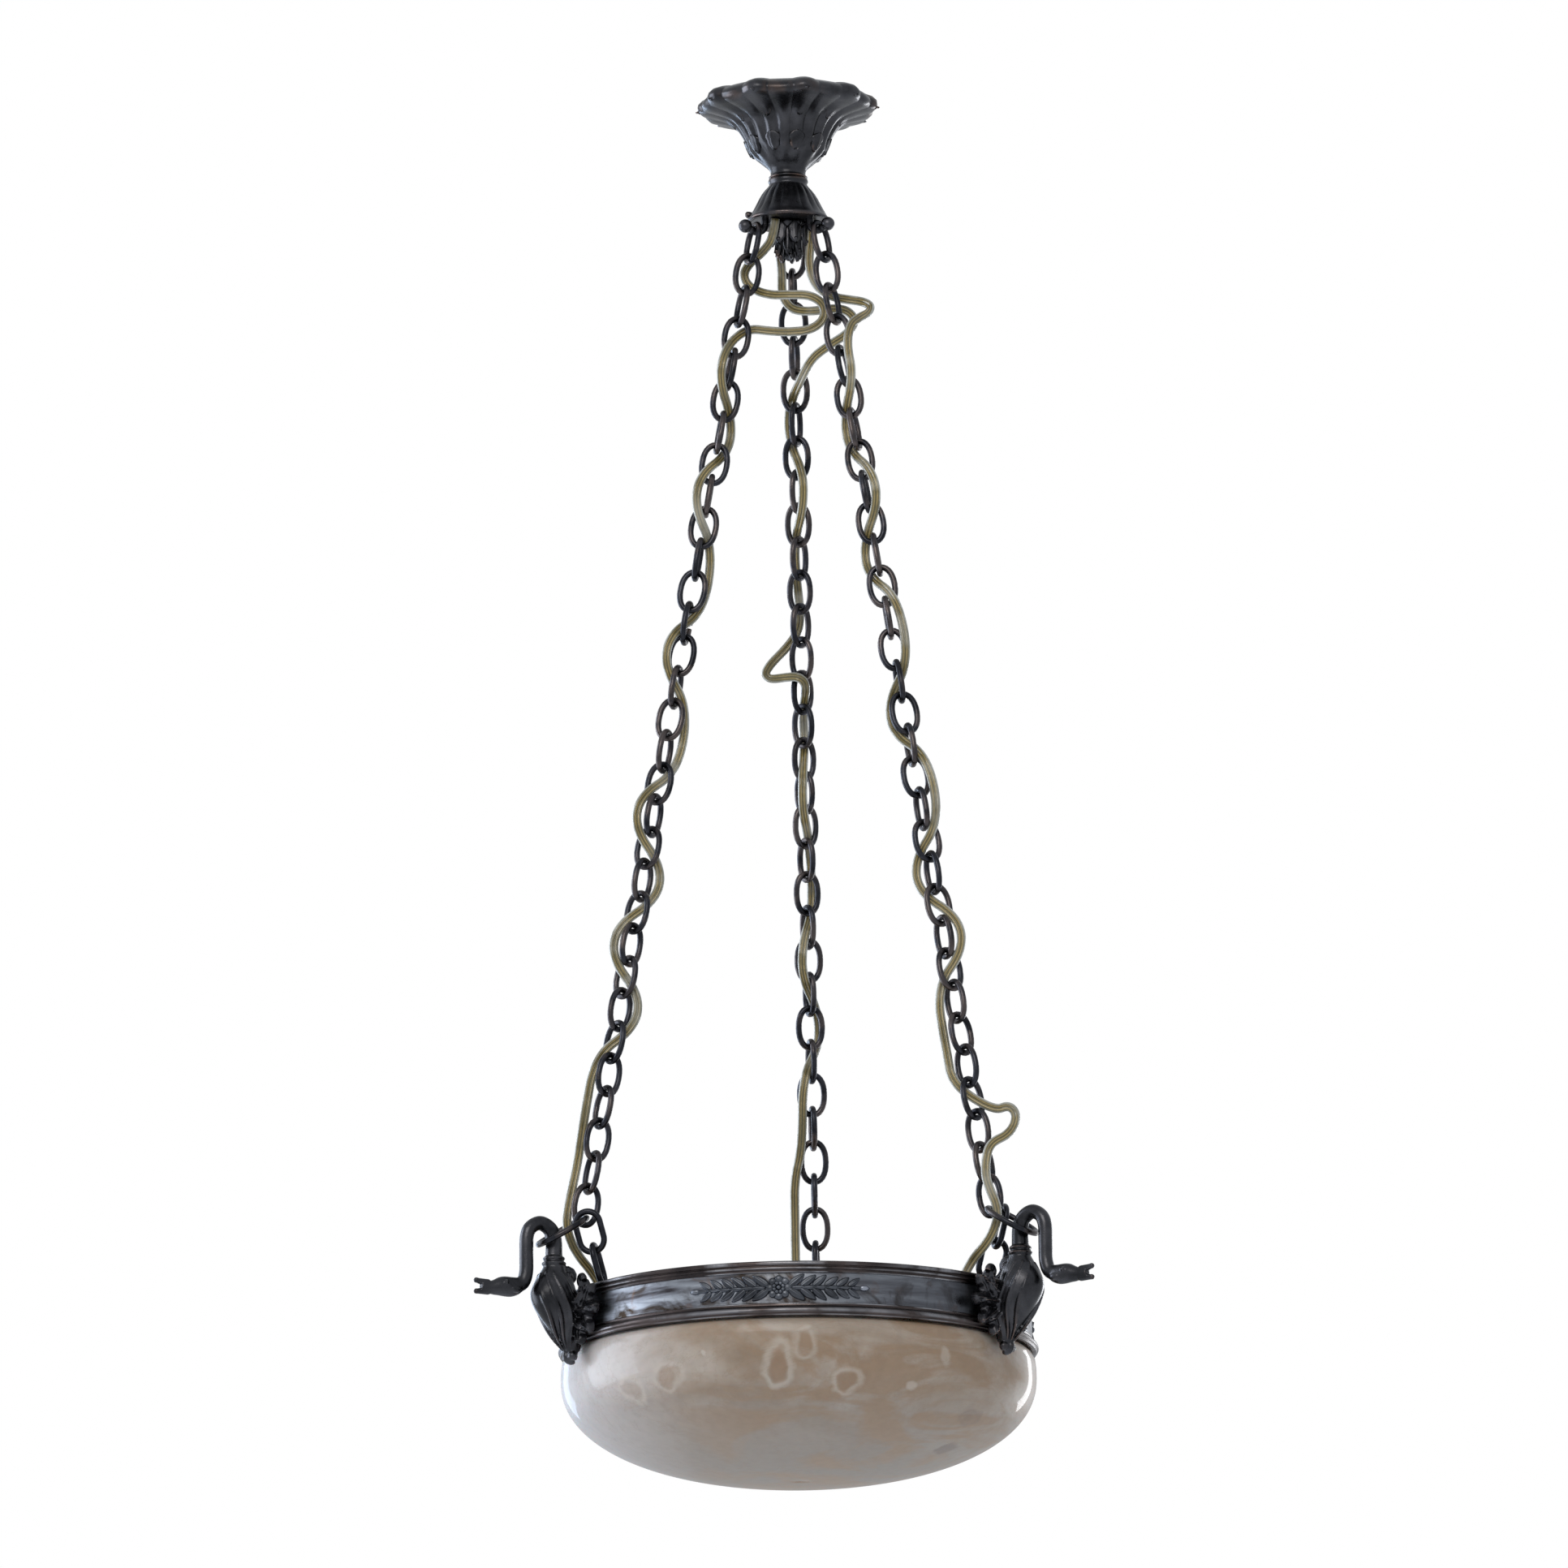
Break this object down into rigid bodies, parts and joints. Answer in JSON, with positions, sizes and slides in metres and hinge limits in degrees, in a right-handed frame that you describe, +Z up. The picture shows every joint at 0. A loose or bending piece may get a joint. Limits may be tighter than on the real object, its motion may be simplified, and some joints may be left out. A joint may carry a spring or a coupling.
{
  "type": "alabaster bowl pendant",
  "caption": "Stone bowl in a moulded metal ring with swan arms, hung on chains from a small hub and flared ceiling canopy, with cords woven down the chains to lamps inside.",
  "frame": {"origin": "middle of the ceiling plate's upper face, where it meets the ceiling", "axes": "+Z up into the ceiling, -Y towards the viewer; the arms lie at 90, 210 and 330 degrees from +X"},
  "size_m": [0.4058, 0.39, 0.9329],
  "materials": {
    "dark_bronze": "near-black bronze patina with brown rubs",
    "brown_bronze": "brown patina, worn on the edges",
    "worn_silvered_bronze": "worn blue-grey metal with dark streaks",
    "dark_iron": "blackened wire",
    "zinc_steel": "zinc-plated steel",
    "alabaster": "polished veined alabaster",
    "gold_cord": "clear gold flat twin cord",
    "black_plastic": "moulded phenolic",
    "white_plastic": "moulded nylon",
    "bulb_metal": "pressed thread",
    "bulb_glass": "opal glass"
  },
  "bodies": {
    "ceiling_mount": {"ceiling_plate": "zinc_steel", "ceiling_hook": "zinc_steel"},
    "swing_link": {"suspension_ring": "dark_iron"},
    "hub": {"rod_eye": "zinc_steel", "centre_rod": "zinc_steel", "canopy": "dark_bronze", "hub_crown": "dark_bronze", "hub_plate": "dark_bronze", "connector_block": "white_plastic", "finial": "dark_bronze", "hub_hook_left": "dark_bronze", "hub_hook_right": "dark_bronze", "hub_hook_back": "dark_bronze"},
    "bowl_frame": {"ring_band": "worn_silvered_bronze", "top_moulding": "brown_bronze", "low_moulding": "brown_bronze", "garland_front": "worn_silvered_bronze", "garland_left_rear": "worn_silvered_bronze", "garland_right_rear": "worn_silvered_bronze", "alabaster_bowl": "alabaster", "swan_studs": "zinc_steel", "stud_nuts": "zinc_steel", "holder_screws": "zinc_steel", "spare_links_left": "dark_iron", "spare_links_right": "dark_iron", "swan_left": "dark_bronze", "neck_ring_left": "dark_iron", "lamp_bracket_left": "zinc_steel", "lampholder_left": "black_plastic", "swan_right": "dark_bronze", "neck_ring_right": "dark_iron", "lamp_bracket_right": "zinc_steel", "lampholder_right": "black_plastic", "swan_back": "dark_bronze", "neck_ring_back": "dark_iron", "lamp_bracket_back": "zinc_steel", "lampholder_back": "black_plastic"},
    "chain_left": {"chain_links_left": "dark_iron", "cord_left": "gold_cord"},
    "bulb_left": {"bulb_cap_left": "bulb_metal", "bulb_glass_left": "bulb_glass"},
    "chain_right": {"chain_links_right": "dark_iron", "cord_right": "gold_cord"},
    "bulb_right": {"bulb_cap_right": "bulb_metal", "bulb_glass_right": "bulb_glass"},
    "chain_back": {"chain_links_back": "dark_iron", "cord_back": "gold_cord"},
    "bulb_back": {"bulb_cap_back": "bulb_metal", "bulb_glass_back": "bulb_glass"}
  },
  "joints": [
    {"name": "ring_swing", "type": "hinge", "parent": "ceiling_mount", "child": "swing_link", "pos_m": [0, 0, -0.019], "axis": [1, 0, 0], "range_deg": [-2.5, 2.5]},
    {"name": "hub_swing", "type": "hinge", "parent": "swing_link", "child": "hub", "pos_m": [0, 0, -0.029], "axis": [0, 1, 0], "range_deg": [-2.5, 2.5]},
    {"name": "bowl_twist", "type": "hinge", "parent": "hub", "child": "bowl_frame", "pos_m": [0, 0, -0.81554], "axis": [0, 0, 1], "range_deg": [-4, 4], "stiffness_Nm_per_rad": 0.28},
    {"name": "chain_left_tilt", "type": "hinge", "parent": "hub", "child": "chain_left", "pos_m": [-0.0214, -0.01236, -0.09939], "axis": [-0.866, -0.5, 0], "range_deg": [-0.92, 0.92]},
    {"name": "bulb_left_turn", "type": "hinge", "parent": "bowl_frame", "child": "bulb_left", "pos_m": [-0.07794, -0.045, -0.85954], "axis": [-0.866, -0.5, 0], "continuous": true},
    {"name": "chain_right_tilt", "type": "hinge", "parent": "hub", "child": "chain_right", "pos_m": [0.0214, -0.01236, -0.09939], "axis": [0.866, -0.5, 0], "range_deg": [-0.92, 0.92]},
    {"name": "bulb_right_turn", "type": "hinge", "parent": "bowl_frame", "child": "bulb_right", "pos_m": [0.07794, -0.045, -0.85954], "axis": [0.866, -0.5, 0], "continuous": true},
    {"name": "chain_back_tilt", "type": "hinge", "parent": "hub", "child": "chain_back", "pos_m": [0, 0.02472, -0.09939], "axis": [0, 1, 0], "range_deg": [-0.92, 0.92]},
    {"name": "bulb_back_turn", "type": "hinge", "parent": "bowl_frame", "child": "bulb_back", "pos_m": [0, 0.09, -0.85954], "axis": [0, 1, 0], "continuous": true}
  ],
  "couplings": [
    {"joint": "chain_left_tilt", "follows": "bowl_twist", "ratio": 0.22715},
    {"joint": "chain_right_tilt", "follows": "bowl_twist", "ratio": 0.22715},
    {"joint": "chain_back_tilt", "follows": "bowl_twist", "ratio": 0.22715}
  ]
}
